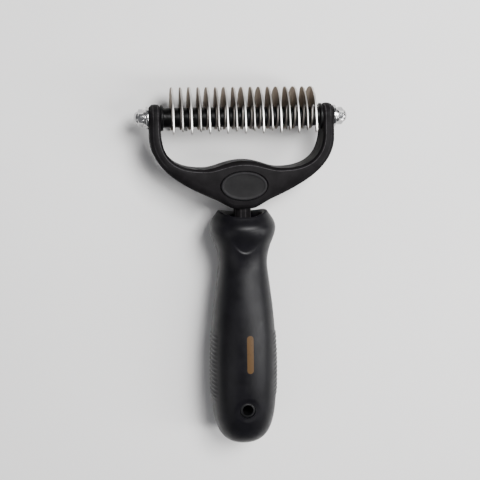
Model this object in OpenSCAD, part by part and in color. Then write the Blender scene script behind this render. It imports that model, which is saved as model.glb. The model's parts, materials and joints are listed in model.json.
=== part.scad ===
// Two-sided dematting comb, in millimetres.
// A fork on a soft-grip handle carries one threaded rod, and hooked steel blades are stacked on
// the rod between spacers. Every blade has a tooth on the fine side, and every second blade has
// one on the coarse side too. Cap nuts outside the fork clamp the stack.
// The comb lies on its coarse side: +X runs along the rod, +Y along the handle towards the
// blades, and +Z out of the fine side. The origin is below the middle, on the resting surface.

/* [Blades] */
// Number of blades on the rod, which is the number of teeth on the fine side
blade_count = 17; // [13:2:17]
// Distance from one blade to the next
blade_pitch = 3.96; // [3.9:0.02:4.2]
// Thickness of a blade's steel sheet
blade_thickness = 0.8; // [0.7:0.1:1]
// Height of a blade's crown above the rod's axis
crown_height = 13.8; // [13.4:0.2:15]
// Distance from the mid-plane to the outside of a tooth
tooth_reach = 15.5; // [15.5:0.1:16]
// How far the tips of the two-sided blades reach below the rod's axis
long_drop = 6.8; // [6.4:0.2:8]
// How far the tips of the one-sided blades reach below the rod's axis
short_drop = 5.8; // [5.4:0.2:6.4]
// Width of a tooth at its rounded tip
tip_width = 2.4; // [2:0.2:2.8]
// Diameter of a blade's hub round the rod
hub_d = 11.2; // [10.4:0.2:11.6]
// Width of the throat between the hub and a tooth, at its closed end
throat_width = 4.8; // [4.4:0.2:5]
// Distance from the rod's axis up to the centre of the throat's round end
throat_rise = 3.2; // [2.6:0.2:3.4]

/* [Rod and fasteners] */
// Diameter of the rod, which has one flat along its whole length
rod_d = 4; // [3.6:0.2:4.4]
// Depth of the flat that keeps the blades from turning on the rod
flat_depth = 0.5; // [0.4:0.1:0.6]
// Diameter of the spacers between the blades
spacer_d = 9; // [8.6:0.2:10]
// Diameter of the flange on the collar at each end of the stack
collar_d = 11.8; // [11:0.2:12]
// Length of the collar between the last blade and the fork's arm
collar_length = 4.7; // [4:0.1:5]
// Diameter of the flat washer outside each arm
flat_washer_d = 10; // [9:0.5:11]
// Thickness of the flat washer
flat_washer_t = 1.2; // [0.8:0.1:1.3]
// Diameter of the split lock washer under each nut
lock_washer_d = 7.6; // [7:0.2:8.2]
// Thickness of the lock washer
lock_washer_t = 1; // [0.8:0.1:1.1]
// Width of the cap nut across its flats
nut_width = 7; // [6.8:0.1:7.4]
// Length of the cap nut with its dome
nut_length = 4.4; // [4.3:0.1:5]

/* [Fork] */
// Thickness of each arm, along the rod
arm_thickness = 5.2; // [4.8:0.2:6]
// Radius of an arm's round end about the rod
arm_end_r = 6.1; // [6:0.1:7]
// Thickness of the fork from its front face to its back face
fork_depth = 16; // [15:0.5:17]
// Distance from the rod's axis down to the top of the crossbar's middle
bridge_top = 19.4; // [19:0.2:20.4]
// Distance from the rod's axis down to the bottom of the fork
fork_bottom = 41.3; // [40.8:0.1:41.6]
// Distance from the rod's axis down to the lower corners of the fork's window
window_drop = 23; // [22.6:0.2:23.6]
// Length of the oval badge across the fork
badge_length = 21; // [19:0.5:22]
// Height of the oval badge along the handle
badge_height = 12.9; // [12:0.1:13.5]
// Depth of the pocket that holds a badge
badge_pocket = 1.2; // [1:0.1:1.6]
// Diameter of the fork's neck and of the tang inside the handle
neck_d = 8; // [7:0.5:9]
// Length of the neck and tang below the fork
tang_length = 34; // [28:1:38]

/* [Handle] */
// Distance from the rod's axis down to the handle's rim
rim_drop = 42.6; // [42.6:0.1:43.4]
// Radius of the handle at its widest point
belly_r = 15.6; // [15:0.1:16]
// Radius of the handle at its waist
waist_r = 11.4; // [10.8:0.1:11.8]
// Radius of the handle at its shoulder
shoulder_r = 15.3; // [14.8:0.1:16]
// Distance from the rod's axis down to the handle's end
handle_drop = 154.5; // [150:0.5:158]
// Thickness of the soft grip over the core
grip_wall = 2.6; // [2.2:0.2:3]
// Distance from the handle's end to the hang hole
hang_hole_rise = 19.6; // [18:0.2:21]
// Diameter of the hang hole
hang_hole_d = 4.5; // [4:0.5:5.5]
// Diameter of the core's boss that lines the hang hole
eyelet_d = 7.5; // [7:0.5:9]
// Diameter of the pin that holds the tang in the core
tang_pin_d = 3; // [2.5:0.5:3]

/* [Hidden] */
// Radial clearance of a part that turns or slides on the rod
running_fit = 0.06;
// Gap between flat faces of parts that can move against each other
face_gap = 0.05;
// Gap round a piece that is held still
seat_gap = 0.02;
// Points on each curve of an outline
curve_steps = 8;
// Sides of the grip's cross-section
grip_sides = 40;
// Points round the badge's oval
oval_steps = 72;

// Half of the stack of blades, and the faces outside it
stack_half = (blade_count - 1) / 2 * blade_pitch + blade_thickness / 2;
arm_inner_x = stack_half + collar_length + face_gap;
arm_outer_x = arm_inner_x + arm_thickness;
washer_x = arm_outer_x + face_gap;
nut_x = washer_x + flat_washer_t + lock_washer_t + face_gap;

// The rod ends inside the nut, and the nut's blind hole is a little deeper
rod_in_nut = 2.9;
nut_hole_depth = 3.4;
nut_dome_r = nut_width / 2 - 0.5;
nut_hex_length = 2.5;

// Length of the whole comb, and the place of the rod's axis
comb_length = crown_height + handle_drop;
axle_y = comb_length / 2 - crown_height;
axle_z = tooth_reach;

tip_r = tip_width / 2;
hub_r = hub_d / 2;
throat_r = throat_width / 2;
badge_proud = 0.4;
badge_drop = 30.7;
tang_pin_drop = 62;
tang_pin_length = 15;
hang_hole_drop = handle_drop - hang_hole_rise;

spacer_count = blade_count - 1;

function numbered(name, i) = str(name, i < 10 ? "_0" : "_", i);

// Points of a cubic curve from a to d, without its first point
function curve(a, b, c, d) = [
    for (i = [1:curve_steps])
        let (t = i / curve_steps, s = 1 - t)
        s * s * s * a + 3 * s * s * t * b + 3 * s * t * t * c + t * t * t * d
];

// Points of an arc from angle a0 to angle a1
function arc(centre, r, a0, a1) = [
    for (i = [0:curve_steps])
        let (a = a0 + (a1 - a0) * i / curve_steps)
        centre + r * [cos(a), sin(a)]
];

function reversed(points) = [for (i = [len(points) - 1:-1:0]) points[i]];
function flipped_x(points) = [for (p = points) [-p[0], p[1]]];
function flipped_y(points) = [for (p = points) [p[0], -p[1]]];

// Blade outlines have the crown's direction first and the side's direction second.
// A tooth runs from the crown over its outside, round its tip and up the cutting edge to the hub.
function tooth(drop) = concat(
    curve([crown_height, 0], [crown_height, 8.5], [8, 13.6], [tip_r - drop, tooth_reach]),
    arc([tip_r - drop, tooth_reach - tip_r], tip_r, 100, 260),
    curve(
        [tip_r - drop, tooth_reach - tip_width],
        [-3, hub_r + throat_width + 1.6],
        [throat_rise - 3, hub_r + throat_width],
        [throat_rise, hub_r + throat_width]
    ),
    arc([throat_rise, hub_r + throat_r], throat_r, 80, -90)
);

// The bare side of a one-sided blade, from the hub up to the crown
function bare_side() = curve([0, -hub_r], [5, -hub_r], [crown_height, -5], [crown_height, 0]);

module two_sided_outline() {
    polygon(concat(
        tooth(long_drop),
        arc([0, 0], hub_r, 90, 270),
        reversed(flipped_y(tooth(long_drop)))
    ));
}

module one_sided_outline() {
    polygon(concat(
        tooth(short_drop),
        arc([0, 0], hub_r, 90, 270),
        bare_side()
    ));
}

// The rod's section, with its flat towards the crown
module rod_section(clearance) {
    difference() {
        circle(d = rod_d + 2 * clearance, $fn = 48);
        translate([rod_d / 2 - flat_depth + clearance, -rod_d])
            square([rod_d, 2 * rod_d]);
    }
}

// Places children at the rod's axis
module at_axle() {
    translate([0, axle_y, axle_z])
        children();
}

// Extrudes an outline along the rod, from x over the given length
module along_rod(x, length) {
    translate([x, 0, 0])
        rotate([90, 0, 90])
            linear_extrude(length)
                children();
}

module blade(i) {
    color([0.78, 0.79, 0.80])
        at_axle()
            along_rod((i - 1) * blade_pitch - stack_half, blade_thickness)
                difference() {
                    if (i % 2 == 1)
                        two_sided_outline();
                    else
                        one_sided_outline();
                    rod_section(running_fit);
                }
}

module spacer(i) {
    color([0.07, 0.07, 0.08])
        at_axle()
            along_rod((i - 1) * blade_pitch - stack_half + blade_thickness, blade_pitch - blade_thickness)
                difference() {
                    circle(d = spacer_d, $fn = 64);
                    rod_section(running_fit);
                }
}

// A collar with its flange against the arm
module right_collar() {
    flange = 1.2;
    color([0.10, 0.10, 0.11])
        at_axle()
            difference() {
                union() {
                    along_rod(stack_half, collar_length)
                        circle(d = spacer_d, $fn = 64);
                    along_rod(stack_half + collar_length - flange, flange)
                        circle(d = collar_d, $fn = 64);
                }
                along_rod(stack_half - 1, collar_length + 2)
                    rod_section(running_fit);
            }
}

module rod() {
    half = nut_x + rod_in_nut;
    color([0.62, 0.63, 0.65])
        at_axle()
            along_rod(-half, 2 * half)
                rod_section(0);
}

module right_flat_washer() {
    color([0.80, 0.81, 0.82])
        at_axle()
            along_rod(washer_x, flat_washer_t)
                difference() {
                    circle(d = flat_washer_d, $fn = 64);
                    circle(d = rod_d + 2 * running_fit, $fn = 48);
                }
}

module right_lock_washer() {
    split = 0.8;
    color([0.70, 0.71, 0.72])
        at_axle()
            along_rod(washer_x + flat_washer_t, lock_washer_t)
                difference() {
                    circle(d = lock_washer_d, $fn = 64);
                    circle(d = rod_d + 2 * running_fit, $fn = 48);
                    translate([-split / 2, 0])
                        square([split, lock_washer_d]);
                }
}

module right_cap_nut() {
    dome_rise = nut_length - nut_hex_length;
    color([0.84, 0.85, 0.86])
        at_axle()
            translate([nut_x, 0, 0])
                rotate([0, 90, 0])
                    difference() {
                        union() {
                            cylinder(d = nut_width / cos(30), h = nut_hex_length, $fn = 6);
                            translate([0, 0, nut_hex_length])
                                rotate_extrude($fn = 64)
                                    polygon(concat(
                                        [[0, -1], [nut_dome_r, -1]],
                                        [for (a = [0:10:90]) [nut_dome_r * cos(a), dome_rise * sin(a)]]
                                    ));
                        }
                        translate([0, 0, -1])
                            cylinder(d = rod_d + 2 * running_fit, h = nut_hole_depth + 1, $fn = 48);
                    }
}

module left_collar() {
    mirror([1, 0, 0])
        right_collar();
}

module left_flat_washer() {
    mirror([1, 0, 0])
        right_flat_washer();
}

module left_lock_washer() {
    mirror([1, 0, 0])
        right_lock_washer();
}

module left_cap_nut() {
    mirror([1, 0, 0])
        right_cap_nut();
}

// Right half of the fork's outer edge, from the arm's top down to the neck
fork_outer = concat(
    [[arm_outer_x, arm_end_r + 1], [arm_outer_x, -8]],
    curve(
        [arm_outer_x, -8],
        [arm_outer_x, -23],
        [arm_outer_x * 0.66, -30.5],
        [arm_outer_x * 0.31, 4.3 - fork_bottom]
    ),
    curve(
        [arm_outer_x * 0.31, 4.3 - fork_bottom],
        [arm_outer_x * 0.2, 2.1 - fork_bottom],
        [neck_d * 0.75, -fork_bottom],
        [neck_d / 2 - 0.5, -fork_bottom]
    )
);

// Right half of the fork's window, from the arm's top down to the bridge's middle
window_corner = [17.8, -window_drop];
fork_inner = concat(
    [[arm_inner_x, arm_end_r + 1], [arm_inner_x, -6]],
    curve([arm_inner_x, -6], [arm_inner_x, -19], [arm_inner_x * 0.79, -window_drop], window_corner),
    curve(window_corner, [11.9, -window_drop], [8.2, -bridge_top], [0, -bridge_top])
);

module fork_front_outline() {
    polygon(concat(
        fork_outer,
        reversed(flipped_x(fork_outer)),
        flipped_x(fork_inner),
        reversed(fork_inner)
    ));
}

// The fork from the side: a round end about the rod, widening to the full depth
module fork_side_outline() {
    taper = 16;
    polygon(concat(
        arc([0, 0], arm_end_r, -90, 90),
        [[-taper, fork_depth / 2], [-fork_bottom - 1, fork_depth / 2]],
        [[-fork_bottom - 1, -fork_depth / 2], [-taper, -fork_depth / 2]]
    ));
}

module oval(margin) {
    polygon([
        for (i = [0:oval_steps - 1])
            let (a = i * 360 / oval_steps)
            [(badge_length / 2 + margin) * cos(a), (badge_height / 2 + margin) * sin(a) - badge_drop]
    ]);
}

// A solid along the handle, from the given drop below the rod's axis
module down_handle(drop, length) {
    translate([0, -drop, 0])
        rotate([90, 0, 0])
            linear_extrude(length)
                children();
}

module tang_pin_hole(length) {
    translate([0, -tang_pin_drop, 0])
        cylinder(d = tang_pin_d + 2 * seat_gap, h = length, center = true, $fn = 32);
}

module fork() {
    color([0.09, 0.09, 0.10])
        at_axle()
            difference() {
                union() {
                    intersection() {
                        linear_extrude(fork_depth, center = true)
                            fork_front_outline();
                        along_rod(-arm_outer_x, 2 * arm_outer_x)
                            fork_side_outline();
                    }
                    down_handle(fork_bottom - 2, tang_length + 2)
                        circle(d = neck_d, $fn = 64);
                }
                along_rod(-arm_outer_x - 1, 2 * arm_outer_x + 2)
                    circle(d = rod_d + 2 * running_fit, $fn = 48);
                for (side = [0, 1])
                    mirror([0, 0, side])
                        translate([0, 0, fork_depth / 2 - badge_pocket])
                            linear_extrude(badge_pocket + 1)
                                oval(0.35);
                tang_pin_hole(neck_d + 2);
            }
}

module front_badge() {
    color([0.13, 0.13, 0.14])
        at_axle()
            translate([0, 0, fork_depth / 2 - badge_pocket])
                linear_extrude(badge_pocket + badge_proud)
                    oval(0);
}

module back_badge() {
    color([0.13, 0.13, 0.14])
        at_axle()
            translate([0, 0, -fork_depth / 2 - badge_proud])
                linear_extrude(badge_pocket + badge_proud)
                    oval(0);
}

// The handle's outline: distance below the rod's axis, half width and half depth
rim = [rim_drop, 11.4, 10.9];
shoulder = [50.6, shoulder_r, shoulder_r - 1.2];
waist = [67.2, waist_r, waist_r - 0.2];
belly = [119.7, belly_r, tooth_reach];
tail = [handle_drop, 2, 2];
handle_curve = concat(
    [rim],
    curve(rim, rim + [2.4, 1.3, 1], shoulder - [3.4, 0, 0], shoulder),
    curve(shoulder, shoulder + [4.6, 0, 0], waist - [8.1, 0, 0], waist),
    curve(waist, waist + [6, 0, 0], belly - [30, 0, 0], belly),
    curve(belly, belly + [20, 0, 0], [handle_drop, belly_r - 0.7, belly_r - 1.6], tail)
);

// A closed solid through elliptical rings at the handle's outline
module handle_loft() {
    rings = len(handle_curve);
    points = [
        for (p = handle_curve, i = [0:grip_sides - 1])
            let (a = i * 360 / grip_sides)
            [p[1] * cos(a), -p[0], p[2] * sin(a)]
    ];
    walls = [
        for (r = [0:rings - 2], i = [0:grip_sides - 1])
            let (j = (i + 1) % grip_sides, a = r * grip_sides, b = a + grip_sides)
            [a + i, b + i, b + j, a + j]
    ];
    top = [for (i = [0:grip_sides - 1]) i];
    bottom = [for (i = [grip_sides - 1:-1:0]) (rings - 1) * grip_sides + i];
    polyhedron(points, concat(walls, [top, bottom]));
}

// The hard core's outline, a wall's thickness inside the grip, and grown by the given margin
module core_outline(margin) {
    core_end = hang_hole_drop + eyelet_d / 2 + 1;
    inside = [
        for (p = handle_curve)
            if (p[0] < core_end)
                [p[2] - grip_wall + margin, p[0]]
    ];
    end_r = inside[len(inside) - 1][0];
    polygon(concat(
        [[0, rim_drop]],
        inside,
        [[end_r - 1, core_end + margin], [0, core_end + margin]]
    ));
}

module eyelet(margin, length) {
    translate([0, -hang_hole_drop, 0])
        cylinder(d = eyelet_d + 2 * margin, h = length, center = true, $fn = 64);
}

module core_body(margin) {
    rotate([90, 0, 0])
        rotate_extrude($fn = 96)
            core_outline(margin);
}

module handle_core() {
    eyelet_length = 28;
    color([0.12, 0.12, 0.13])
        at_axle()
            difference() {
                union() {
                    core_body(0);
                    eyelet(0, eyelet_length);
                }
                down_handle(rim_drop - 1, fork_bottom + tang_length - rim_drop + 2)
                    circle(d = neck_d + 2 * seat_gap, $fn = 64);
                tang_pin_hole(tang_pin_length + 1);
                translate([0, -hang_hole_drop, 0])
                    cylinder(d = hang_hole_d, h = eyelet_length + 2, center = true, $fn = 64);
            }
}

module tang_pin() {
    color([0.62, 0.63, 0.65])
        at_axle()
            translate([0, -tang_pin_drop, 0])
                cylinder(d = tang_pin_d, h = tang_pin_length, center = true, $fn = 32);
}

module grip() {
    color([0.06, 0.06, 0.07])
        at_axle()
            difference() {
                handle_loft();
                translate([0, 0.01, 0])
                    core_body(seat_gap);
                eyelet(seat_gap, 2 * tooth_reach + 2);
            }
}

fork();
front_badge();
back_badge();
handle_core();
grip();
tang_pin();
rod();
left_collar();
right_collar();
left_flat_washer();
right_flat_washer();
left_lock_washer();
right_lock_washer();
left_cap_nut();
right_cap_nut();
for (i = [1:blade_count])
    blade(i);
for (i = [1:spacer_count])
    spacer(i);
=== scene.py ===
"""Looks of a two-sided dematting comb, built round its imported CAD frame."""

import json
import math

import bmesh
import bpy
import numpy as np
from mathutils import Matrix, Vector


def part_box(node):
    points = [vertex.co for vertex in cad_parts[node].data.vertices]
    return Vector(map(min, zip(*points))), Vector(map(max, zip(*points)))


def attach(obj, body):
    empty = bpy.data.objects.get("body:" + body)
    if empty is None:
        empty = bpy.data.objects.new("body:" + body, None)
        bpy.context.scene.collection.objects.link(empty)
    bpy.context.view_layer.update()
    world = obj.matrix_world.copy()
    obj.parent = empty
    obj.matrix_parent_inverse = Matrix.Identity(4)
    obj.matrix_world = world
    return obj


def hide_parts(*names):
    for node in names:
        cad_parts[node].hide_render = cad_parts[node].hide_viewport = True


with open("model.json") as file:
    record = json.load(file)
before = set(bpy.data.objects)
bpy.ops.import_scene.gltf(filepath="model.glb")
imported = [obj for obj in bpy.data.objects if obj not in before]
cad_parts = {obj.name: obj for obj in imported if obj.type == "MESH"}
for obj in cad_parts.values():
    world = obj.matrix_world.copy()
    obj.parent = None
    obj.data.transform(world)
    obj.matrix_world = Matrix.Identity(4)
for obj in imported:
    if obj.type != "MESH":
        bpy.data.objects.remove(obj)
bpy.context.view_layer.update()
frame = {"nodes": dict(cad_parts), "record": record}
MM = 0.001
TAU = 2 * math.pi


def box_mm(node):
    low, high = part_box(node)
    return [v / MM for v in low], [v / MM for v in high]


def middle(node):
    low, high = box_mm(node)
    return [(a + b) / 2 for a, b in zip(low, high)]


# Shapes are written as (x, u, w) in millimetres: x along the rod, u from the rod towards the
# crown, and w from the rod towards the fine side.
AXLE_Y, AXLE_Z = middle("spacer_01")[1:]
BLADES = sorted(n for n in frame["nodes"] if n.startswith("blade_"))
SPACERS = sorted(n for n in frame["nodes"] if n.startswith("spacer_"))
CROWN = box_mm("blade_01")[1][1] - AXLE_Y
REACH = box_mm("blade_01")[1][2] - AXLE_Z
LONG_DROP = AXLE_Y - box_mm("blade_01")[0][1]
SHORT_DROP = AXLE_Y - box_mm("blade_02")[0][1]
ARM_OUTER = box_mm("fork")[1][0]
HANDLE_END = AXLE_Y - box_mm("grip")[0][1]
HANDLE_RIM = AXLE_Y - box_mm("grip")[1][1]
BADGE_DROP = AXLE_Y - middle("front_badge")[1]
BADGE_FACE = box_mm("front_badge")[1][2] - AXLE_Z
HANG_HOLE = next(m for m in frame["record"]["mounts"] if m["name"] == "hang_hole")
HOLE_DROP = AXLE_Y - HANG_HOLE["pos_m"][1] / MM


# ---------------------------------------------------------------- outlines


def cubic(a, b, c, d, steps):
    """Points of a cubic curve from a to d, without its first point."""
    a, b, c, d = (np.array(p, float) for p in (a, b, c, d))
    out = []
    for i in range(1, steps + 1):
        t = i / steps
        s = 1 - t
        out.append(s**3 * a + 3 * s * s * t * b + 3 * s * t * t * c + t**3 * d)
    return out


def curve(a, b, c, d, steps):
    """The same curve with its first point."""
    return [a] + cubic(a, b, c, d, steps)


def arc(centre, radius, start, end, steps):
    """Points of an arc between two angles in degrees."""
    angles = np.radians(np.linspace(start, end, steps + 1))
    return [np.array(centre, float) + radius * np.array([math.cos(a), math.sin(a)]) for a in angles]


def spread(points, count):
    """The same path with its points evenly spaced along it."""
    points = np.array(points, float)
    steps = np.linalg.norm(np.diff(points, axis=0), axis=1)
    along = np.concatenate([[0], np.cumsum(steps)])
    places = np.linspace(0, along[-1], count)
    return np.stack([np.interp(places, along, column) for column in points.T], axis=1)


def ease(low, high, value):
    """0 below low, 1 above high, and smooth between."""
    t = np.clip((value - low) / (high - low), 0, 1)
    return t * t * (3 - 2 * t)


# ---------------------------------------------------------------- mesh tools

WELD = 0.002
MERGE = 0.01
EDGE_BENDS = (0.12, 0.9)
UNMARKED_FADE = (1.03, 1.18)
FLAT_FACE_WEIGHT = 80


def mark_edges(mesh, soft, sharp, unmarked=None):
    """Stores on each point how strongly the surface bends outwards there, as a mark for edge
    scuffing and, on the fork, for a painted highlight.

    The mark starts at a bend of soft and is full at sharp. An oval given by unmarked has none."""
    count = len(mesh.vertices)
    co = np.empty(count * 3)
    mesh.vertices.foreach_get("co", co)
    normal = np.empty(count * 3)
    mesh.vertices.foreach_get("normal", normal)
    co, normal = co.reshape(-1, 3) / MM, normal.reshape(-1, 3)
    ends = np.empty(len(mesh.edges) * 2, int)
    mesh.edges.foreach_get("vertices", ends)
    a, b = ends.reshape(-1, 2).T
    bend = np.zeros(count)
    used = np.full(count, 1e-9)
    step = co[b] - co[a]
    length2 = np.maximum((step**2).sum(1), MERGE**2)
    np.add.at(bend, a, -(step * normal[a]).sum(1) / length2)
    np.add.at(bend, b, (step * normal[b]).sum(1) / length2)
    np.add.at(used, a, 1)
    np.add.at(used, b, 1)
    wear_and_highlight = ease(soft, sharp, 2 * bend / used)
    if unmarked:
        middle_u, half_x, half_u = unmarked
        out = np.hypot(co[:, 0] / half_x, (co[:, 1] - AXLE_Y - middle_u) / half_u)
        wear_and_highlight *= ease(*UNMARKED_FADE, out)
    layer = mesh.attributes.new("edge_wear_and_highlight", "FLOAT", "POINT")
    layer.data.foreach_set("value", wear_and_highlight.astype(np.float32))


def as_object(name, points, faces):
    mesh = bpy.data.meshes.new(name)
    places = [(x * MM, (AXLE_Y + u) * MM, (AXLE_Z + w) * MM) for x, u, w in points]
    mesh.from_pydata(places, [], [tuple(int(i) for i in f) for f in faces])
    mesh.validate()
    obj = bpy.data.objects.new(name, mesh)
    bpy.context.scene.collection.objects.link(obj)
    return obj


def tidy_mesh(obj):
    """Joins doubled points, drops faces without area and turns all faces outwards."""
    bm = bmesh.new()
    bm.from_mesh(obj.data)
    bmesh.ops.remove_doubles(bm, verts=bm.verts, dist=WELD * MM)
    bmesh.ops.dissolve_degenerate(bm, edges=bm.edges, dist=WELD * MM)
    bmesh.ops.recalc_face_normals(bm, faces=bm.faces)
    bm.to_mesh(obj.data)
    bm.free()


def split_polygons(obj):
    """Cuts faces of more than four sides into well-shaped triangles."""
    bm = bmesh.new()
    bm.from_mesh(obj.data)
    bmesh.ops.remove_doubles(bm, verts=bm.verts, dist=MERGE * MM)
    polygons = [face for face in bm.faces if len(face.verts) > 4]
    bmesh.ops.triangulate(bm, faces=polygons, quad_method="BEAUTY", ngon_method="BEAUTY")
    bm.to_mesh(obj.data)
    bm.free()


def bake_modifiers(obj):
    """Puts the result of an object's modifiers into its mesh."""
    graph = bpy.context.evaluated_depsgraph_get()
    mesh = bpy.data.meshes.new_from_object(obj.evaluated_get(graph))
    obj.modifiers.clear()
    obj.data = mesh


def combine(obj, other, operation):
    """Adds another closed object to this one or cuts it away, and deletes the other."""
    cut = obj.modifiers.new("combine", "BOOLEAN")
    cut.operation = operation
    cut.solver = "EXACT"
    cut.object = other
    bake_modifiers(obj)
    bpy.data.objects.remove(other)


def piece(
    obj, body, slot, material, *replaced,
    angle=35, weighted=False, bends=EDGE_BENDS, unmarked=None,
):
    """Finishes a piece: clean mesh, shading, material, and its place in the frame."""
    tidy_mesh(obj)
    mesh = obj.data
    mesh.polygons.foreach_set("use_smooth", [True] * len(mesh.polygons))
    mesh.set_sharp_from_angle(angle=math.radians(angle))
    if weighted:
        modifier = obj.modifiers.new("flat_faces", "WEIGHTED_NORMAL")
        modifier.keep_sharp = True
        modifier.weight = FLAT_FACE_WEIGHT
        bake_modifiers(obj)
        mesh = obj.data
    if "edge_wear_and_highlight" not in mesh.attributes:
        mark_edges(mesh, *bends, unmarked)
    mesh.materials.clear()
    mesh.materials.append(material)
    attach(obj, body)
    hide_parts(*replaced)


def strip_faces(rows, around, close_rows=False):
    """Quads of a grid of rows of points, each row closed on itself."""
    faces = []
    last = rows if close_rows else rows - 1
    for r in range(last):
        a, b = r * around, (r + 1) % rows * around
        for i in range(around):
            j = (i + 1) % around
            faces.append((a + i, a + j, b + j, b + i))
    return faces


def capped_faces(rows, around):
    """The same grid with a face over its first row and one over its last."""
    faces = strip_faces(rows, around)
    faces.append(tuple(range(around)))
    faces.append(tuple(range(around * (rows - 1), around * rows)))
    return faces


def stack(name, rings):
    """A closed solid through rings of the same number of points."""
    points = [p for ring in rings for p in ring]
    return as_object(name, points, capped_faces(len(rings), len(rings[0])))


def lathe(name, profile, sign=1, around=96):
    """Turns a closed profile of (x, radius) about the rod's axis, on the side of sign."""
    points = []
    for x, r in profile:
        for i in range(around):
            a = i * TAU / around
            points.append((sign * x, r * math.cos(a), r * math.sin(a)))
    return as_object(name, points, strip_faces(len(profile), around, close_rows=True))


def disc(x, u, w, radius, axis, count=64):
    """A ring of points about an axis along x, u or w."""
    out = []
    for i in range(count):
        c, s = radius * math.cos(i * TAU / count), radius * math.sin(i * TAU / count)
        out.append({"x": (x, u + c, w + s), "u": (x + s, u, w + c), "w": (x + c, u + s, w)}[axis])
    return out


def rounded(corners, radius, steps=4):
    """A profile with each corner between its ends rounded by the given radius."""
    out = [np.array(corners[0], float)]
    for before, here, after in zip(corners, corners[1:], corners[2:]):
        before, here, after = (np.array(p, float) for p in (before, here, after))
        to_a, to_b = before - here, after - here
        la, lb = np.linalg.norm(to_a), np.linalg.norm(to_b)
        cut = min(radius, la * 0.49, lb * 0.49)
        a, b = here + to_a / la * cut, here + to_b / lb * cut
        for i in range(steps + 1):
            t = i / steps
            out.append((1 - t) ** 2 * a + 2 * t * (1 - t) * here + t * t * b)
    out.append(np.array(corners[-1], float))
    return out


# ---------------------------------------------------------------- materials

# Sockets of the colour mix, which share their names with the sockets of its other modes.
MIX_AMOUNT, MIX_A, MIX_B, MIX_RESULT = 0, 6, 7, 2


class Nodes:
    """A material's node tree, with short calls for the nodes used here."""

    def __init__(self, name):
        self.material = bpy.data.materials.new(name)
        self.material.use_nodes = True
        self.tree = self.material.node_tree
        self.shader = self.tree.nodes["Principled BSDF"]
        self.place = self.tree.nodes.new("ShaderNodeTexCoord").outputs["Object"]

    def link(self, source, socket):
        self.tree.links.new(source, socket)

    def stretch(self, scale):
        node = self.tree.nodes.new("ShaderNodeMapping")
        node.inputs["Scale"].default_value = scale
        self.link(self.place, node.inputs["Vector"])
        return node.outputs["Vector"]

    def noise(self, scale, detail=4.0, rough=0.55, vector=None):
        node = self.tree.nodes.new("ShaderNodeTexNoise")
        node.inputs["Scale"].default_value = scale
        node.inputs["Detail"].default_value = detail
        node.inputs["Roughness"].default_value = rough
        self.link(vector or self.place, node.inputs["Vector"])
        return node.outputs["Fac"]

    def remap(self, source, low, high, to_low=0.0, to_high=1.0):
        node = self.tree.nodes.new("ShaderNodeMapRange")
        node.interpolation_type = "SMOOTHSTEP"
        node.inputs["From Min"].default_value = low
        node.inputs["From Max"].default_value = high
        node.inputs["To Min"].default_value = to_low
        node.inputs["To Max"].default_value = to_high
        self.link(source, node.inputs["Value"])
        return node.outputs["Result"]

    def math(self, operation, a, b=None):
        node = self.tree.nodes.new("ShaderNodeMath")
        node.operation = operation
        for value, socket in ((a, node.inputs[0]), (b, node.inputs[1])):
            if value is None:
                continue
            if isinstance(value, (int, float)):
                socket.default_value = value
            else:
                self.link(value, socket)
        return node.outputs[0]

    def mix(self, amount, a, b):
        node = self.tree.nodes.new("ShaderNodeMix")
        node.data_type = "RGBA"
        self.link(amount, node.inputs[MIX_AMOUNT])
        for value, socket in ((a, node.inputs[MIX_A]), (b, node.inputs[MIX_B])):
            if isinstance(value, tuple):
                socket.default_value = (*value, 1)
            else:
                self.link(value, socket)
        return node.outputs[MIX_RESULT]

    # The edge mark: scuffing, and on the fork and the blades also a painted highlight.
    def wear_and_highlight(self):
        node = self.tree.nodes.new("ShaderNodeAttribute")
        node.attribute_name = "edge_wear_and_highlight"
        return node.outputs["Fac"]

    def split(self):
        node = self.tree.nodes.new("ShaderNodeSeparateXYZ")
        self.link(self.place, node.inputs[0])
        return node.outputs

    def bump(self, height, distance, strength=1.0, before=None):
        node = self.tree.nodes.new("ShaderNodeBump")
        node.inputs["Strength"].default_value = strength
        node.inputs["Distance"].default_value = distance * MM
        self.link(height, node.inputs["Height"])
        if before is not None:
            self.link(before, node.inputs["Normal"])
        return node.outputs["Normal"]

    def set(self, **values):
        names = {
            "color": "Base Color", "rough": "Roughness", "metal": "Metallic", "normal": "Normal",
            "tint": "Specular Tint", "spec": "Specular IOR Level",
        }
        for key, value in values.items():
            socket = self.shader.inputs[names[key]]
            if isinstance(value, bpy.types.NodeSocket):
                self.link(value, socket)
            else:
                socket.default_value = value


def plastic(name, dark, light, worn_and_highlit, rough, grain, grain_depth, spec, wear_and_highlight_amount=0.5):
    """A moulded plastic: mottled colour, fine grain, faint scuffs, and paler edges.

    The paler edges are scuffing; on the fork they are a painted highlight along its creases.
    """
    n = Nodes(name)
    mottle = n.remap(n.noise(scale=180, detail=5), low=0.35, high=0.65)
    colour = n.mix(mottle, dark, light)
    streaks = n.noise(scale=420, detail=6, rough=0.7, vector=n.stretch((1, 0.25, 1)))
    scuff = n.remap(streaks, low=0.62, high=0.78)
    patches = n.remap(n.noise(scale=900, detail=4), low=0.3, high=0.6, to_low=0.35)
    # Paler edges: scuffing, and on the fork a painted highlight along the creases.
    edge = n.math("MULTIPLY", n.wear_and_highlight(), patches)
    colour = n.mix(n.math("MULTIPLY", edge, wear_and_highlight_amount), colour, worn_and_highlit)
    base = n.remap(n.noise(scale=260, detail=4), 0.3, 0.7, to_low=rough[0], to_high=rough[1])
    rougher = n.math("ADD", base, n.math("MULTIPLY", scuff, 0.10))
    fine = n.bump(n.noise(scale=grain, detail=3), distance=grain_depth)
    wide = n.bump(n.noise(scale=150, detail=3), distance=0.05, strength=0.5, before=fine)
    n.set(color=colour, rough=rougher, normal=wide, spec=spec)
    return n.material


RUBBED_AND_HIGHLIT_STEEL = (0.80, 0.79, 0.77)


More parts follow.
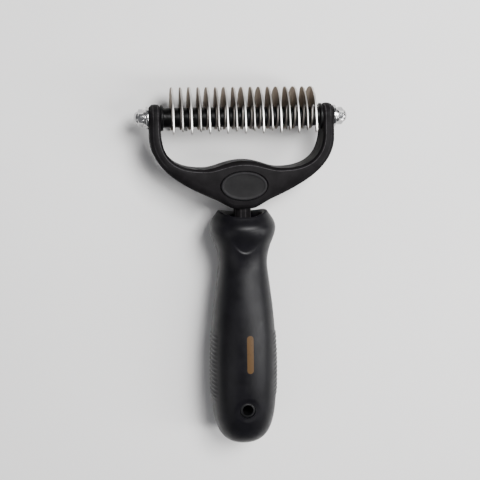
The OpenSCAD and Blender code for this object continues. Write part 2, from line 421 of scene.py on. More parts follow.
def metal(name, dark, light, rough, stretch, line_depth, rubbed_and_highlight=0.5, rim=(1, 1, 1)):
    """A metal: drawn or ground lines, smudges, and brighter edges.

    The brighter edges are polish; on the blades they are also a painted highlight on the front
    edges.
    """
    n = Nodes(name)
    lines = n.noise(scale=1500, detail=4, rough=0.6, vector=n.stretch(stretch))
    smudge = n.remap(n.noise(scale=240, detail=5), low=0.35, high=0.7)
    colour = n.mix(n.math("MULTIPLY", smudge, 0.6), light, dark)
    # Brighter edges: polish, and on the blades also a painted highlight.
    colour = n.mix(n.math("MULTIPLY", n.wear_and_highlight(), rubbed_and_highlight), colour, RUBBED_AND_HIGHLIT_STEEL)
    base = n.remap(lines, 0.3, 0.7, to_low=rough[0], to_high=rough[1])
    rougher = n.math("ADD", base, n.math("MULTIPLY", smudge, 0.06))
    bumps = n.bump(lines, distance=line_depth, strength=0.5)
    n.set(color=colour, rough=rougher, metal=1.0, normal=bumps, tint=(*rim, 1))
    return n.material


# The fork's pale edge colour, mixed in strongly, is a painted highlight: a light line along its
# creases.
fork_look = plastic(
    "fork_plastic_look",
    dark=(0.0058, 0.0053, 0.0057), light=(0.0088, 0.0081, 0.0087), worn_and_highlit=(0.080, 0.076, 0.080),
    rough=(0.44, 0.54), grain=2600, grain_depth=0.010, spec=0.04, wear_and_highlight_amount=0.9,
)
badge_look = plastic(
    "badge_plastic_look",
    dark=(0.0056, 0.0053, 0.0057), light=(0.0082, 0.0078, 0.0083), worn_and_highlit=(0.026, 0.025, 0.027),
    rough=(0.52, 0.62), grain=3400, grain_depth=0.035, spec=0.12, wear_and_highlight_amount=0.6,
)
spacer_look = plastic(
    "spacer_plastic_look",
    dark=(0.0015, 0.0015, 0.0016), light=(0.0028, 0.0028, 0.0030), worn_and_highlit=(0.012, 0.012, 0.013),
    rough=(0.32, 0.42), grain=2600, grain_depth=0.008, spec=0.12,
)
core_look = plastic(
    "core_plastic_look",
    dark=(0.0028, 0.0028, 0.0031), light=(0.0045, 0.0045, 0.0050), worn_and_highlit=(0.018, 0.018, 0.020),
    rough=(0.40, 0.50), grain=2200, grain_depth=0.015, spec=0.2,
)
blade_look = metal(
    "blade_steel_look",
    dark=(0.22, 0.20, 0.18), light=(0.34, 0.32, 0.295), rough=(0.30, 0.42),
    stretch=(1, 0.15, 1), line_depth=0.006, rubbed_and_highlight=0.9, rim=(0.34, 0.29, 0.25),
)
plated_look = metal(
    "plated_steel_look",
    dark=(0.24, 0.24, 0.245), light=(0.38, 0.38, 0.385), rough=(0.12, 0.20),
    stretch=(1, 1, 1), line_depth=0.003,
)
plain_look = metal(
    "plain_steel_look",
    dark=(0.36, 0.36, 0.37), light=(0.50, 0.50, 0.51), rough=(0.28, 0.40),
    stretch=(0.1, 1, 1), line_depth=0.010,
)

STRIPE_X = 1.2
STRIPE_DROP = 107.8
STRIPE_HALF = 7.4
STRIPE_EDGE = (1.46, 1.60)
STRIPE_RISE = 4


def stripe_shape(n):
    """Where the printed stripe is: straight sides, round ends, on the fine side only."""
    x, y, z = n.split()
    across = n.math("SUBTRACT", x, STRIPE_X * MM)
    from_middle = n.math("ABSOLUTE", n.math("SUBTRACT", y, (AXLE_Y - STRIPE_DROP) * MM))
    past_end = n.math("MAXIMUM", n.math("SUBTRACT", from_middle, STRIPE_HALF * MM), 0.0)
    across2 = n.math("POWER", n.math("ABSOLUTE", across), 2.0)
    away = n.math("SQRT", n.math("ADD", across2, n.math("POWER", past_end, 2.0)))
    inside = n.remap(away, STRIPE_EDGE[0] * MM, STRIPE_EDGE[1] * MM, to_low=1.0, to_high=0.0)
    return n.math("MULTIPLY", inside, n.remap(z, AXLE_Z * MM, (AXLE_Z + STRIPE_RISE) * MM))


def grip_material():
    """Soft-touch rubber with a satin bloom, a fine grain and a plain printed stripe."""
    n = Nodes("grip_rubber_look")
    mottle = n.remap(n.noise(scale=150, detail=5), low=0.35, high=0.65)
    colour = n.mix(mottle, (0.0018, 0.0016, 0.0026), (0.0032, 0.0029, 0.0044))
    patches = n.remap(n.noise(scale=700, detail=4), low=0.3, high=0.6, to_low=0.4)
    edge = n.math("MULTIPLY", n.wear_and_highlight(), patches)
    colour = n.mix(n.math("MULTIPLY", edge, 0.45), colour, (0.012, 0.012, 0.014))
    printed = n.remap(n.noise(scale=900, detail=5, rough=0.65), 0.30, 0.42, to_low=0.55)
    colour = n.mix(n.math("MULTIPLY", stripe_shape(n), printed), colour, (0.068, 0.036, 0.0120))
    base = n.remap(n.noise(scale=220, detail=4), 0.3, 0.7, to_low=0.36, to_high=0.46)
    fine = n.bump(n.noise(scale=3000, detail=2), distance=0.02)
    wide = n.bump(n.noise(scale=120, detail=3), distance=0.05, strength=0.4, before=fine)
    n.set(color=colour, rough=base, normal=wide, spec=0.22)
    return n.material


grip_look = grip_material()


# ---------------------------------------------------------------- blades

TIP_R = 1.2
HUB_R = 5.6
THROAT_R = 2.4
THROAT_RISE = 3.2
OUTLINE_STEPS = 26
HUB_STEPS = 30
TIP_STEPS = 14
INNER_STEPS = 22
THROAT_STEPS = 18
CLOSEST = 0.05  # Outline points nearer than this to the one before are left out.

# The cutting edge runs up the tooth's inner side. It is ground a little at the end of the tip,
# fully after a few points of the inner side, and it fades out in the throat.
TIP_GROUND = 0.3
FULLY_GROUND = (0, 6)
GRIND_FADES = (2, 12)
GRIND_WIDTH = 1.18
CUTTING_LAND = 0.08
FLAT_MARGIN = 0.3

# Elsewhere the edges are eased by this much, and the bevels bow out by a share of their width.
LONG_EASED, LONG_BOW = 0.18, 0.1
SHORT_EASED, SHORT_BOW = 0.29, 0
# How much each ring across the edge is brightened, the short blades' share, and where this fades
# out towards the hub. The bright land is polished steel and also a painted highlight for the
# front-edge lines.
RUBBED_AND_HIGHLIT_ROWS = (0, 0, 0.12, 1, 1, 0.12, 0, 0)
SHORT_RUBBED_AND_HIGHLIT = 0.55
SHINE_FROM, SHINE_FULL = HUB_R + 0.5, HUB_R + 2.4


def tooth(drop):
    """A tooth's outline from the crown to the hub, as (u, w, how far its edge is ground)."""
    outer = curve((CROWN, 0), (CROWN, 8.5), (8, 13.6), (TIP_R - drop, REACH), OUTLINE_STEPS)
    tip = arc((TIP_R - drop, REACH - TIP_R), TIP_R, 100, 260, TIP_STEPS)
    tip_width, throat_top = 2 * TIP_R, HUB_R + 2 * THROAT_R
    inner = cubic(
        (TIP_R - drop, REACH - tip_width), (-3, throat_top + 1.6),
        (THROAT_RISE - 3, throat_top), (THROAT_RISE, throat_top), INNER_STEPS,
    )
    throat = arc((THROAT_RISE, HUB_R + THROAT_R), THROAT_R, 80, -90, THROAT_STEPS)
    out = [(p[0], p[1], 0) for p in outer[:-1]]
    out += [(p[0], p[1], TIP_GROUND * i / TIP_STEPS) for i, p in enumerate(tip)]
    for i, p in enumerate(inner, 1):
        out.append((p[0], p[1], TIP_GROUND + (1 - TIP_GROUND) * ease(*FULLY_GROUND, i)))
    out += [(p[0], p[1], 1 - ease(*GRIND_FADES, i)) for i, p in enumerate(throat)]
    return out


def blade_outline(two_sided):
    """A whole blade's outline, anticlockwise, with a tooth on one side or on both."""
    if two_sided:
        side = tooth(LONG_DROP)
        other = [(u, -w, g) for u, w, g in reversed(side)]
    else:
        side = tooth(SHORT_DROP)
        bare = cubic((0, -HUB_R), (5, -HUB_R), (CROWN, -5), (CROWN, 0), OUTLINE_STEPS)
        other = [(0, -HUB_R, 0)] + [(p[0], p[1], 0) for p in bare[:-1]]
    hub = [(p[0], p[1], 0) for p in arc((0, 0), HUB_R, 90, 270, HUB_STEPS)]
    clean = []
    for p in side + hub[1:-1] + other:
        if not clean or math.dist(p[:2], clean[-1][:2]) > CLOSEST:
            clean.append(p)
    if math.dist(clean[0][:2], clean[-1][:2]) < CLOSEST:
        clean.pop()
    return clean


def blade_mesh(name, x_low, x_high, two_sided):
    """A sheet-steel blade with eased edges and ground cutting edges."""
    outline = blade_outline(two_sided)
    flat = np.array([(u, w) for u, w, g in outline])
    ground = np.array([g for u, w, g in outline])
    along = np.roll(flat, -1, axis=0) - np.roll(flat, 1, axis=0)
    along /= np.linalg.norm(along, axis=1)[:, None]
    inward = np.stack([-along[:, 1], along[:, 0]], axis=1)
    half = (x_high - x_low) / 2
    centre = (x_high + x_low) / 2
    eased, bow = (LONG_EASED, LONG_BOW) if two_sided else (SHORT_EASED, SHORT_BOW)
    land = half - eased - ground * (half - eased - CUTTING_LAND)
    inset = eased + ground * (GRIND_WIDTH - eased)
    full = np.full(len(flat), half)
    front = [
        (flat, land),
        (flat + inward * (inset * (0.5 - bow))[:, None], land + (half - land) * (0.5 + bow)),
        (flat + inward * inset[:, None], full),
        (flat + inward * (inset + FLAT_MARGIN)[:, None], full),
    ]
    rings = [(place, -xs) for place, xs in reversed(front)] + front
    blade = stack(name, [[(centre + x, u, w) for (u, w), x in zip(*ring)] for ring in rings])
    # The polish and painted highlight fade out towards the hub and are set ring by ring across the
    # edge.
    shine = ease(SHINE_FROM, SHINE_FULL, np.hypot(flat[:, 0], flat[:, 1]))
    wear_and_highlight = blade.data.attributes.new("edge_wear_and_highlight", "FLOAT", "POINT")
    rubbed_and_highlight = np.array(RUBBED_AND_HIGHLIT_ROWS) * (1 if two_sided else SHORT_RUBBED_AND_HIGHLIT)
    wear_and_highlight.data.foreach_set("value", np.outer(rubbed_and_highlight, shine).ravel().astype(np.float32))
    return blade


for number, node in enumerate(BLADES):
    low, high = box_mm(node)
    steel = blade_mesh("steel_" + node, low[0], high[0], number % 2 == 0)
    piece(steel, "comb_head", "blade_steel", blade_look, node, angle=28)


# ---------------------------------------------------------------- rod hardware

BORE_R = 2.06
SPACER_R = (box_mm("spacer_01")[1][2] - box_mm("spacer_01")[0][2]) / 2

# A spacer's rounded ends: how far in from the end, and how much less than its radius.
SPACER_ENDS = ((0, 0.35), (0.08, 0.12), (0.3, 0.02), (0.6, 0))
COLLAR_FACE_R = 3
FLANGE_WIDTH = 1.2
FLANGE_EDGE = 0.35
SIDES = {"left": -1, "right": 1}


def span(node):
    """How far from the middle a part on the rod starts and ends, and its outer radius."""
    low, high = box_mm(node)
    start, end = sorted((abs(low[0]), abs(high[0])))
    return start, end, (high[2] - low[2]) / 2


def ring_profile(x0, x1, outer, edge):
    """A washer's section, with rounded edges."""
    middle_r = (outer + BORE_R) / 2
    corners = [(x0, middle_r), (x0, outer), (x1, outer), (x1, BORE_R), (x0, BORE_R), (x0, middle_r)]
    return rounded(corners, edge)[:-1]


for node in SPACERS:
    low, high = box_mm(node)
    profile = [(low[0], BORE_R)]
    profile += [(low[0] + along, SPACER_R - less) for along, less in SPACER_ENDS]
    profile += [(high[0] - along, SPACER_R - less) for along, less in reversed(SPACER_ENDS)]
    profile.append((high[0], BORE_R))
    tube = lathe("tube_" + node, profile, around=72)
    piece(tube, "comb_head", "spacer_plastic", spacer_look, node)

for side, sign in SIDES.items():
    x0, x1, flange_r = span(f"{side}_collar")
    flange_x = x1 - FLANGE_WIDTH
    corners = [
        (x0, COLLAR_FACE_R), (x0, SPACER_R), (flange_x, SPACER_R),
        (flange_x, flange_r), (x1, flange_r), (x1, COLLAR_FACE_R),
    ]
    profile = [(x0, BORE_R)] + rounded(corners, FLANGE_EDGE, 5) + [(x1, BORE_R)]
    collar = lathe(f"flanged_{side}_collar", profile, sign)
    piece(collar, "comb_head", "spacer_plastic", spacer_look, f"{side}_collar")

    profile = ring_profile(*span(f"{side}_flat_washer"), edge=0.28)
    washer = lathe(f"pressed_{side}_washer", profile, sign)
    piece(washer, f"{side}_washers", "plated_steel", plated_look, f"{side}_flat_washer")


def lock_washer(side, sign):
    """A split ring of rounded square wire."""
    section = ring_profile(*span(f"{side}_lock_washer"), edge=0.2)
    split_half, split_r = 0.4, 4
    gap = math.asin(split_half / split_r)
    steps = 80
    points = []
    for i in range(steps + 1):
        a = gap + (TAU - 2 * gap) * i / steps
        points += [(sign * x, r * math.cos(a), r * math.sin(a)) for x, r in section]
    return as_object(f"split_{side}_washer", points, capped_faces(steps + 1, len(section)))


def cap_nut(side, sign):
    """A domed nut: chamfered hexagon, rounded shoulder and dome, with its blind hole."""
    x0, x1, _ = span(f"{side}_cap_nut")
    apothem, hex_length, dome_r, hole = 3.5, 2.5, 3.0, 3.4
    drill_cone, dome_foot, dome_turn = 0.3, 0.02, 86
    around = 96
    twelfth = math.pi / 6
    corner = apothem / math.cos(twelfth)
    angles = [i * TAU / around + twelfth for i in range(around)]
    hexagon = [apothem / math.cos(a % (math.pi / 3) - twelfth) for a in angles]
    rows = [[(hole - drill_cone, BORE_R)] * around, [(0, BORE_R)] * around]
    # Distance along the nut, and the largest radius there, which rounds the hexagon's ends.
    for x, limit in (
        (0, 3.45), (0.06, 3.55), (0.3, corner), (hex_length - 0.42, corner),
        (hex_length - 0.25, 3.78), (hex_length - 0.08, 3.5), (hex_length, 3.25),
    ):
        rows.append([(x, min(r, limit)) for r in hexagon])
    rise = (x1 - x0) - hex_length
    for a in np.radians(np.linspace(0, dome_turn, 18)):
        x = hex_length + dome_foot + (rise - dome_foot) * math.sin(a)
        rows.append([(x, dome_r * math.cos(a))] * around)
    points = []
    for row in rows:
        for i, (x, r) in enumerate(row):
            a = i * TAU / around
            points.append((sign * (x0 + x), -r * math.sin(a), r * math.cos(a)))
    faces = strip_faces(len(rows), around)
    count = len(points)
    points += [(sign * (x0 + hole), 0, 0), (sign * x1, 0, 0)]
    for i in range(around):
        j = (i + 1) % around
        faces.append((count, i, j))
        faces.append((count + 1, count - around + i, count - around + j))
    return as_object(f"domed_{side}_nut", points, faces)


for side, sign in SIDES.items():
    ring, nut = lock_washer(side, sign), cap_nut(side, sign)
    piece(ring, f"{side}_washers", "plated_steel", plated_look, f"{side}_lock_washer")
    piece(nut, f"{side}_nut", "plated_steel", plated_look, f"{side}_cap_nut", angle=24)


# ---------------------------------------------------------------- fork

ARM_WIDTH = 5.2
ARM_END_R = 6.1
FULL_DEPTH_DROP = 16
FORK_HALF = 8.0
NECK_DROP = 41.3
NECK_R = 4.0
NECK_END = 62
BRIDGE_DROP = 19.4
CORNER = (17.8, -23.0)
CURVE_STEPS = 40
ARM_ROWS, CURVE_ROWS = 6, 34


def fork_paths():
    """Matching stations down the fork's right half: inner edge, outer edge."""
    inner_x, outer_x = ARM_OUTER - ARM_WIDTH, ARM_OUTER
    arm_in, arm_out = (inner_x, -6), (outer_x, -8)
    crest, turn = (0, -BRIDGE_DROP), (outer_x * 0.31, 4.3 - NECK_DROP)
    inner = curve(arm_in, (inner_x, -19), (inner_x * 0.79, CORNER[1]), CORNER, CURVE_STEPS)
    bridge = curve(CORNER, (11.9, CORNER[1]), (8.2, -BRIDGE_DROP), crest, CURVE_STEPS)
    outer = curve(arm_out, (outer_x, -23), (outer_x * 0.66, -30.5), turn, 3 * CURVE_STEPS)
    bottom = cubic(
        turn, (outer_x * 0.2, 2.1 - NECK_DROP),
        (NECK_R * 1.5, -NECK_DROP), (NECK_R - 0.5, -NECK_DROP), CURVE_STEPS,
    )
    bottom.append((0, -NECK_DROP))
    split = next(i for i, p in enumerate(outer) if p[0] < CORNER[0] + 1)
    pairs = [
        ([(inner_x, 0), arm_in], [(outer_x, 0), arm_out], ARM_ROWS),
        (inner, outer[: split + 1], CURVE_ROWS),
        (bridge, outer[split:] + bottom, CURVE_ROWS),
    ]
    inside, outside = [], []
    for a, b, count in pairs:
        skip = 1 if inside else 0
        inside += list(spread(a, count + 1))[skip:]
        outside += list(spread(b, count + 1))[skip:]
    return inside, outside


# The fork's long edges are rolled over to a crease on its face. Each roll is given as how far it
# goes across and down on the arms, and what is added over the bridge (SOFT) and along the
# shoulders (WIDE). What is added fades in and out between two distances from the middle, and
# only where u is below the last number of the line.
SOFT_X, SOFT_BELOW = (20, 6), -10
WIDE_FROM, WIDE_TO, WIDE_BELOW = (6, 13), (37, 27), -20
INNER_ROLL, INNER_SOFT = (1.2, 1.5), (0.7, 1.3)
OUTER_ROLL, OUTER_SOFT, OUTER_WIDE = (1.9, 2.1), (0.4, 0.3), (2.0, 0.6)
INNER_TURN, OUTER_TURN = 62, 80
ROLL_POINTS = 8
CREASE_WIDTH = 0.16
CREASE = (0.01, 0.012)
CROWN_RISE, CROWN_SHARE = 0.35, 0.04
FACE_POINTS = 7
FIRST_POINT, FIRST_SHARE = 0.7, 0.3


def rolled_edge(across, down, turn, rim):
    """A rolled edge from the fork's side to its face, ending in a shallow crease."""
    last = math.radians(turn)
    side = [(0.0, 0.0)]
    for a in np.linspace(0, last, ROLL_POINTS):
        s = across * (1 - math.cos(a)) / (1 - math.cos(last))
        side.append((s, rim - down + down * math.sin(a) / math.sin(last)))
    before, corner = side[-2], side.pop()
    toward = np.array(before) - np.array(corner)
    toward *= CREASE_WIDTH / np.linalg.norm(toward)
    side.append((corner[0] + toward[0], corner[1] + toward[1]))
    side.append((corner[0] - CREASE[0], corner[1] - CREASE[1]))
    side.append((corner[0] + CREASE_WIDTH, rim))
    return side


def fork_half_loop(inner, outer):
    """The front half of the fork's section at one station, from inner side to outer side."""
    length = float(np.linalg.norm(outer - inner))
    along = (outer - inner) / length
    u = (inner[1] + outer[1]) / 2
    half = ARM_END_R + (FORK_HALF - ARM_END_R) * float(ease(0, FULL_DEPTH_DROP, -u))
    soft = wide = 0.0
    if inner[1] < SOFT_BELOW:
        soft = float(ease(*SOFT_X, abs(inner[0])))
    if outer[1] < WIDE_BELOW:
        wide = float(ease(*WIDE_FROM, outer[0]) * ease(*WIDE_TO, outer[0]))
    r_in, z_in = (a + b * soft for a, b in zip(INNER_ROLL, INNER_SOFT))
    r_out, z_out = (a + b * soft + c * wide for a, b, c in zip(OUTER_ROLL, OUTER_SOFT, OUTER_WIDE))
    crown = min(CROWN_RISE, CROWN_SHARE * (length - r_in - r_out))
    rim = half - crown
    section = rolled_edge(r_in, z_in, INNER_TURN, rim)
    far_side = rolled_edge(r_out, z_out, OUTER_TURN, rim)
    start, stop = section[-1][0], length - far_side[-1][0]
    near = min(FIRST_POINT / (stop - start), FIRST_SHARE)
    for t in np.linspace(near, 1 - near, FACE_POINTS):
        section.append((start + (stop - start) * t, rim + crown * (1 - (2 * t - 1) ** 2)))
    section += [(length - s, z) for s, z in reversed(far_side)]
    return [(*(inner + along * s), z) for s, z in section]


def fork_mesh():
    """The fork's sections joined along its length, with rounded ends on the arms."""
    inside, outside = fork_paths()
    right = [fork_half_loop(a, b) for a, b in zip(inside, outside)]
    left = [[(-x, u, w) for x, u, w in loop] for loop in reversed(right[:-1])]
    stations = right + left
    half = len(stations[0])
    around = 2 * half - 2
    points = []
    for loop in stations:
        points += loop
        points += [(x, u, -w) for x, u, w in reversed(loop[1:-1])]
    faces = strip_faces(len(stations), around)
    steps = 28
    for station in (0, len(stations) - 1):
        loop = stations[station]
        base = station * around
        front = [base + j for j in range(half)]
        back = [front[0]] + [base + around - j for j in range(1, half - 1)] + [front[-1]]
        columns = [front]
        for k in range(1, steps):
            a = math.pi * k / steps
            first = len(points)
            points += [(x, w * math.sin(a), w * math.cos(a)) for x, u, w in loop[1:-1]]
            columns.append([front[0]] + list(range(first, first + half - 2)) + [front[-1]])
        columns.append(back)
        for a, b in zip(columns, columns[1:]):
            for j in range(half - 1):
                quad = [a[j], a[j + 1], b[j + 1], b[j]]
                faces.append(tuple(dict.fromkeys(quad)))
    return as_object("moulded_fork", points, faces)


BADGE_LOW, BADGE_HIGH = box_mm("front_badge")
BADGE_A, BADGE_B = [(BADGE_HIGH[k] - BADGE_LOW[k]) / 2 for k in (0, 1)]
POCKET_DEPTH = 1.2
POCKET_GAP = 0.35
POCKET_LIP = 0.75

# Rings of the badge's rolled edge: how far in from its outline, and how far below its face. The
# dish's rings are shares of the last of them.
BADGE_ROLL = ((0, 0.45), (0.06, 0.25), (0.2, 0.08), (0.45, 0), (0.9, 0), (1.2, 0.12), (1.6, 0.18))
BADGE_DISH = ((0.6, 0.14), (0.2, 0.12))

# Rings of the pocket round it: how far outside its outline, and how far above the fork's face.
POCKET_RINGS = (
    (POCKET_GAP, -POCKET_DEPTH), (POCKET_GAP, -0.3), (POCKET_LIP, 0.1), (POCKET_LIP, 1),
)


def oval_ring(a, b, w, count=96):
    """A ring of points round the badge's middle, with half axes a and b."""
    angles = [i * TAU / count for i in range(count)]
    return [(a * math.cos(t), b * math.sin(t) - BADGE_DROP, w) for t in angles]


def badge(name, sign):
    """An oval insert with a rolled edge and a very slightly dished face."""
    rings = [oval_ring(BADGE_A, BADGE_B, sign * (FORK_HALF - POCKET_DEPTH))]
    for inset, below in BADGE_ROLL:
        rings.append(oval_ring(BADGE_A - inset, BADGE_B - inset, sign * (BADGE_FACE - below)))
    dish_a, dish_b = BADGE_A - BADGE_ROLL[-1][0], BADGE_B - BADGE_ROLL[-1][0]
    for share, below in BADGE_DISH:
        rings.append(oval_ring(dish_a * share, dish_b * share, sign * (BADGE_FACE - below)))
    return stack(name, rings)


def closed_tool(name, rings):
    """A solid to cut with or to add, cleaned ready for that."""
    tool = stack(name, rings)
    tidy_mesh(tool)
    return tool


fork = fork_mesh()
tidy_mesh(fork)
neck_rings = [(NECK_DROP - 3, NECK_R), (NECK_END - 1, NECK_R), (NECK_END, NECK_R - 1)]
combine(fork, stack("neck", [disc(0, -drop, 0, r, "u") for drop, r in neck_rings]), "UNION")
for sign in (1, -1):
    rings = [oval_ring(BADGE_A + d, BADGE_B + d, sign * (FORK_HALF + w)) for d, w in POCKET_RINGS]
    combine(fork, closed_tool("pocket", rings), "DIFFERENCE")
bore_ends = (-ARM_OUTER - 1, ARM_OUTER + 1)
bore = closed_tool("bore", [disc(x, 0, 0, BORE_R, "x") for x in bore_ends])
combine(fork, bore, "DIFFERENCE")
# The bends pick out the creases that carry the painted highlight; none is painted round the badge
# pocket.
piece(
    fork, "handle_and_fork", "fork_plastic", fork_look, "fork", angle=40, weighted=True,
    bends=(0.3, 0.55), unmarked=(-BADGE_DROP, BADGE_A + POCKET_LIP, BADGE_B + POCKET_LIP),
)

for side, sign in (("front", 1), ("back", -1)):
    oval = badge(f"oval_{side}_badge", sign)
    piece(oval, "handle_and_fork", "badge_plastic", badge_look, f"{side}_badge", weighted=True)


# ---------------------------------------------------------------- handle

WALL = 2.6
CLEARANCE = 0.02
AROUND = 144
STATIONS = 420
EYELET_R = 3.75
HOLE_R = HANG_HOLE["dims"]["r_mm"]

# The handle's outline: drop below the rod, half width and half depth.
RIM = (HANDLE_RIM, 11.4, 10.9)
SHOULDER = (50.6, 15.3, 14.1)
WAIST = (67.2, 11.4, 11.2)
BELLY = (119.7, 15.6, REACH)
NEAR_END = (HANDLE_END, BELLY[1] - 0.7, BELLY[1] - 1.6)
TAIL = (HANDLE_END, 2, 2)

SQUARENESS = 2.12
RIB_PITCH = 2.1
RIB_HEIGHT = 0.5
SADDLE_DEPTH, SADDLE_END = 2.1, 51
RIB_START, RIB_END, RIB_SIDE = (98, 102), (134, 128), (0.84, 0.96)
THUMB_DROP, THUMB_ARCH, THUMB_HALF = 61.6, 7.9, 7.6
THUMB_TOP, THUMB_EDGE, THUMB_FALL = (49.0, 62.0), (0, 1.2), 6
THUMB_DEPTHS = (0.36, 0.60)
THUMB_FRONT = (0.5, 0.75)
DISH_DEPTH, DISH_R = 0.35, (6.4, 3.9)
RIM_EDGE, RIM_TRIM = 0.8, 0.35

# Rings of the cup inside the rim: how far down it, and how far in from its outline.
CUP = (
    (8.5, 2.5), (6, 2.45), (3, 2.4), (1.6, 2.3),
    (1.0, 2.05), (0.55, 1.65), (0.22, 1.1), (0.05, 0.6),
)


def handle_stations():
    """Down the handle: drop, half width and half depth, evenly spaced."""

    def plus(p, *d):
        return tuple(a + b for a, b in zip(p, d))

    path = curve(RIM, plus(RIM, 2.4, 1.3, 1), plus(SHOULDER, -3.4, 0, 0), SHOULDER, 40)
    path += cubic(SHOULDER, plus(SHOULDER, 4.6, 0, 0), plus(WAIST, -8.1, 0, 0), WAIST, 60)
    path += cubic(WAIST, plus(WAIST, 6, 0, 0), plus(BELLY, -30, 0, 0), BELLY, 120)
    path += cubic(BELLY, plus(BELLY, 20, 0, 0), NEAR_END, TAIL, 120)
    return spread(path, STATIONS)


def thumb_rest(x, drop):
    """Depth of the scooped thumb rest below the shoulder."""
    lower = THUMB_DROP - THUMB_ARCH * (x / THUMB_HALF) ** 2
    inside = ease(*THUMB_EDGE, lower - drop) * ease(*THUMB_TOP, drop)
    deeper = 1 - np.exp(-np.maximum(lower - drop, 0) / THUMB_FALL)
    return inside * (THUMB_DEPTHS[0] + THUMB_DEPTHS[1] * deeper)


def ribs(drop, side):
    """Height of the fine ridges on the handle's two sides."""
    along = ease(*RIB_START, drop) * ease(*RIB_END, drop)
    wave = 0.5 + 0.5 * np.cos(TAU * drop / RIB_PITCH)
    return RIB_HEIGHT * wave**0.8 * along * ease(*RIB_SIDE, abs(side))


def saddle(drop, front):
    """How far the rim dips at the front and back."""
    return SADDLE_DEPTH * front**2 * ease(SADDLE_END, RIM[0], drop)


def grip_ring(drop, a, b):
    """One ring of the grip, with its ribs, thumb rests and the dishes round the hang hole."""
    out = []
    power = 2 / SQUARENESS
    for i in range(AROUND):
        t = i * TAU / AROUND
        c, s = math.cos(t), math.sin(t)
        x = a * math.copysign(abs(c) ** power, c)
        w = b * math.copysign(abs(s) ** power, s)
        here = drop + float(saddle(drop, s))
        x += math.copysign(float(ribs(drop, c)), c)
        if abs(s) > THUMB_FRONT[0]:
            w -= math.copysign(float(thumb_rest(x, here)), w) * float(ease(*THUMB_FRONT, abs(s)))
            near = math.hypot(x, drop - HOLE_DROP)
            w -= math.copysign(DISH_DEPTH * float(ease(*DISH_R, near)), w)
        out.append((x, -here, w))
    return out


def grip_mesh():
    """The rubber grip, from inside its rim, over it and down to the rounded end."""
    rings = []
    for depth, shrink in CUP:
        base = grip_ring(RIM[0], RIM[1] - shrink, RIM[2] - shrink)
        rings.append([(x, u - depth, w) for x, u, w in base])
    for drop, a, b in handle_stations():
        into = min((drop - RIM[0]) / RIM_EDGE, 1)
        trim = RIM_TRIM * (1 - math.sqrt(max(0, 1 - (1 - into) ** 2)))
        rings.append(grip_ring(drop, a - trim, b - trim))
    points = [p for ring in rings for p in ring]
    faces = strip_faces(len(rings), AROUND)
    faces.append(tuple(range(AROUND)))
    count = len(points)
    points.append((0, -HANDLE_END, 0))
    first = (len(rings) - 1) * AROUND
    faces += [(count, first + i, first + (i + 1) % AROUND) for i in range(AROUND)]
    return as_object("rubber_grip", points, faces)


grip = grip_mesh()
tidy_mesh(grip)
hole_rings = [disc(0, -HOLE_DROP, w, EYELET_R + CLEARANCE, "w", 96) for w in (-20, 20)]
combine(grip, closed_tool("hole", hole_rings), "DIFFERENCE")
split_polygons(grip)
piece(grip, "handle_and_fork", "grip_rubber", grip_look, "grip", angle=40)

CORE_TOP = 51.2
CORE_TOP_INSETS = (2.55, 2.5)
CORE_GAP = 0.1
CORE_ROWS = (51.5, HOLE_DROP + 4.8)  # The handle's stations that the core's sides may use.
TAPER_FROM = 54

# Half of the hang hole's lining and of its bore, from the ends inwards: distance from the middle,
# and how much narrower the lining or wider the bore is there.
LINING = ((14, 0.9), (13.92, 0.5), (13.6, 0.15), (13.2, 0))
DRILL = ((15, 0.55), (14, 0.35), (13.6, 0.1), (13.1, 0))


def core_mesh():
    """The hard core: its top inside the rim, and the tapering body down past the hang hole."""
    stations = [p for p in handle_stations() if CORE_ROWS[0] < p[0] < CORE_ROWS[1]]
    profile = [(CORE_TOP, NECK_R + CLEARANCE), (CORE_TOP, RIM[2] - CORE_TOP_INSETS[0])]
    profile.append((CORE_TOP + 0.4, RIM[2] - CORE_TOP_INSETS[1]))
    profile += [(p[0], p[2] - WALL - CORE_GAP) for p in stations[::6] if p[0] > TAPER_FROM]
    profile.append((stations[-1][0] + 0.3, stations[-1][2] - WALL - 1.5))
    return stack("moulded_core", [disc(0, -drop, 0, r, "u", 96) for drop, r in profile])


def through_handle(name, radius, widen, ends):
    """A round solid along the hang hole, with the same profile at both ends."""
    profile = [(-w, d) for w, d in ends] + [(w, d) for w, d in reversed(ends)]
    rings = [disc(0, -HOLE_DROP, w, radius + widen * d, "w", 96) for w, d in profile]
    return closed_tool(name, rings)


core = core_mesh()
tidy_mesh(core)
combine(core, through_handle("lining", EYELET_R, -1, LINING), "UNION")
combine(core, through_handle("drill", HOLE_R, 1, DRILL), "DIFFERENCE")
piece(core, "handle_and_fork", "core_plastic", core_look, "handle_core", angle=40)


# ---------------------------------------------------------------- carried-over CAD nodes

for node in ("rod", "tang_pin"):
    materials = frame["nodes"][node].data.materials
    materials.clear()
    materials.append(plain_look)


# ---------------------------------------------------------------- floor, lights and camera

FLOOR_REACH = 1.6
SENSOR_WIDTH = 36
IMAGE_WIDTH = 480
FOCAL_LENGTH = 900
CAMERA_PLACE = (-56.7, AXLE_Y + 15.9, AXLE_Z + 408.2)
CAMERA_TURNS = (7.75, 10, -0.48)


def floor_material():
    """A pale, faintly mottled, matt floor."""
    n = Nodes("floor_look")
    mottle = n.remap(n.noise(scale=6, detail=4), low=0.3, high=0.7)
    colour = n.mix(mottle, (0.80, 0.79, 0.78), (0.83, 0.82, 0.81))
    bumps = n.bump(n.noise(scale=300, detail=3), distance=0.05)
    n.set(color=colour, rough=0.7, normal=bumps)
    return n.material


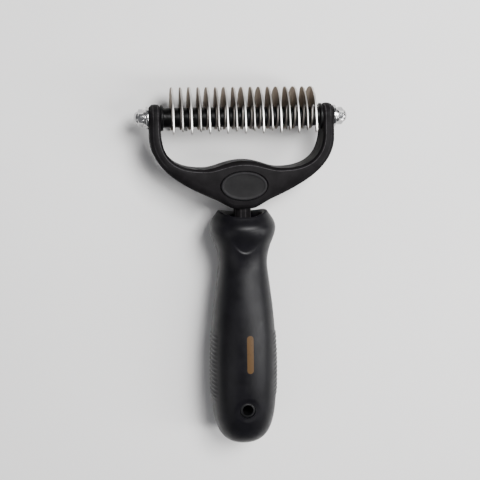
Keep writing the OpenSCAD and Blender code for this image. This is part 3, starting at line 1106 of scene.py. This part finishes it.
floor_mesh = bpy.data.meshes.new("floor")
corners = [(x * FLOOR_REACH, y * FLOOR_REACH, 0) for x, y in ((-1, -1), (1, -1), (1, 1), (-1, 1))]
floor_mesh.from_pydata(corners, [], [(0, 1, 2, 3)])
floor_mesh.materials.append(floor_material())
floor = bpy.data.objects.new("floor", floor_mesh)
bpy.context.scene.collection.objects.link(floor)


def soft_light(name, place, aim, size, watts):
    """An area light, all in metres."""
    light = bpy.data.lights.new(name, "AREA")
    light.shape = "RECTANGLE"
    light.size, light.size_y = size
    light.energy = watts
    obj = bpy.data.objects.new(name, light)
    obj.location = place
    obj.rotation_euler = (Vector(aim) - Vector(place)).to_track_quat("-Z", "Y").to_euler()
    bpy.context.scene.collection.objects.link(obj)


soft_light("key", place=(0.24, 0.36, 0.80), aim=(0, 0, 0), size=(0.34, 0.40), watts=14)
soft_light("side", place=(0.58, -0.12, 0.58), aim=(0, -0.04, 0.01), size=(0.18, 0.7), watts=6)
soft_light("fill", place=(-0.55, -0.30, 0.60), aim=(0, 0, 0), size=(0.3, 0.6), watts=1.0)

world = bpy.data.worlds.new("studio")
world.use_nodes = True
background = world.node_tree.nodes["Background"]
background.inputs["Color"].default_value = (0.92, 0.94, 1.0, 1)
background.inputs["Strength"].default_value = 0.2
bpy.context.scene.world = world


def add_camera():
    """A camera over the fine side, off to the left and turned towards the comb."""
    yaw, pitch, roll = np.radians(CAMERA_TURNS)
    ahead = (math.sin(yaw) * math.cos(pitch), -math.sin(pitch), -math.cos(yaw) * math.cos(pitch))
    forward = Vector(ahead)
    right = Vector((math.cos(yaw), 0, math.sin(yaw)))
    up = right.cross(forward)
    across = right * math.cos(roll) + up * math.sin(roll)
    upward = up * math.cos(roll) - right * math.sin(roll)
    turn = Matrix((across, upward, -forward)).transposed()
    data = bpy.data.cameras.new("camera")
    data.sensor_width = SENSOR_WIDTH
    data.lens = FOCAL_LENGTH / IMAGE_WIDTH * SENSOR_WIDTH
    obj = bpy.data.objects.new("camera", data)
    obj.matrix_world = Matrix.Translation(Vector(np.array(CAMERA_PLACE) * MM)) @ turn.to_4x4()
    bpy.context.scene.collection.objects.link(obj)
    bpy.context.scene.camera = obj


add_camera()
